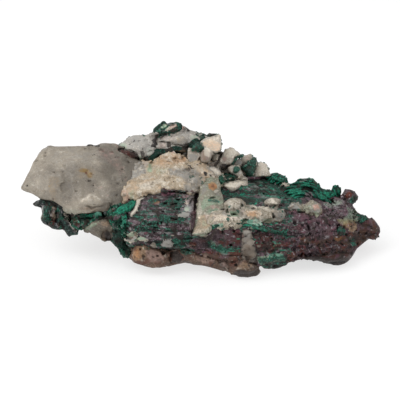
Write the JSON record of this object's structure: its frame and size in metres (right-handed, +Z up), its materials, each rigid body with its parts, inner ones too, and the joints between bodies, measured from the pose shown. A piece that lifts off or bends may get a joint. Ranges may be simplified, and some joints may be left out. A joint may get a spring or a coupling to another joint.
{
  "type": "malachite on copper specimen",
  "caption": "Hand specimen of laminated native copper with green malachite crusts, grown together with milky, cream and iron-stained calcite. It lies on its worn underside.",
  "frame": {"origin": "on the surface it lies on, below the middle of its box", "axes": "+Z up, +X along the specimen from the overhanging calcite block to the pointed copper end, +Y away from the front face"},
  "size_m": [0.111, 0.044, 0.0356],
  "materials": {
    "calcite_blade": "pale green-white, waxy, with an orange stain near its top",
    "calcite_ledge": "cream to peach, sugary",
    "calcite_tooth": "pale grey-green, matt",
    "copper_mass": "tarnished purple-brown native copper, dull metallic with green and rusty spots",
    "calcite_block": "grey-white, translucent and waxy, with yellow-brown stains",
    "malachite_band": "dark green, granular, matt",
    "calcite_cluster": "grey-white, partly yellowish fragments, matt",
    "back_ridge": "grey-white, waxy, with dark red-brown seams",
    "malachite_crust_right": "bright to dark green, botryoidal, matt",
    "malachite_crust_left": "bright to dark green, granular, matt",
    "malachite_knob": "dark green with a pale core, matt",
    "stained_foot": "brown to orange iron-stained calcite, dull",
    "copper_spray": "dark green-black tarnished copper",
    "under_calcite": "grey-brown calcite, dull",
    "cream_calcite": "cream to peach, sugary, with orange stains"
  },
  "bodies": {
    "root": {"calcite_blade": "calcite_blade", "calcite_ledge": "calcite_ledge", "calcite_tooth": "calcite_tooth", "copper_mass": "copper_mass", "calcite_block": "calcite_block", "malachite_band": "malachite_band", "calcite_cluster": "calcite_cluster", "back_ridge": "back_ridge", "malachite_crust_right": "malachite_crust_right", "malachite_crust_left": "malachite_crust_left", "malachite_knob": "malachite_knob", "stained_foot": "stained_foot", "copper_spray": "copper_spray", "under_calcite": "under_calcite", "cream_calcite": "cream_calcite"}
  },
  "joints": []
}
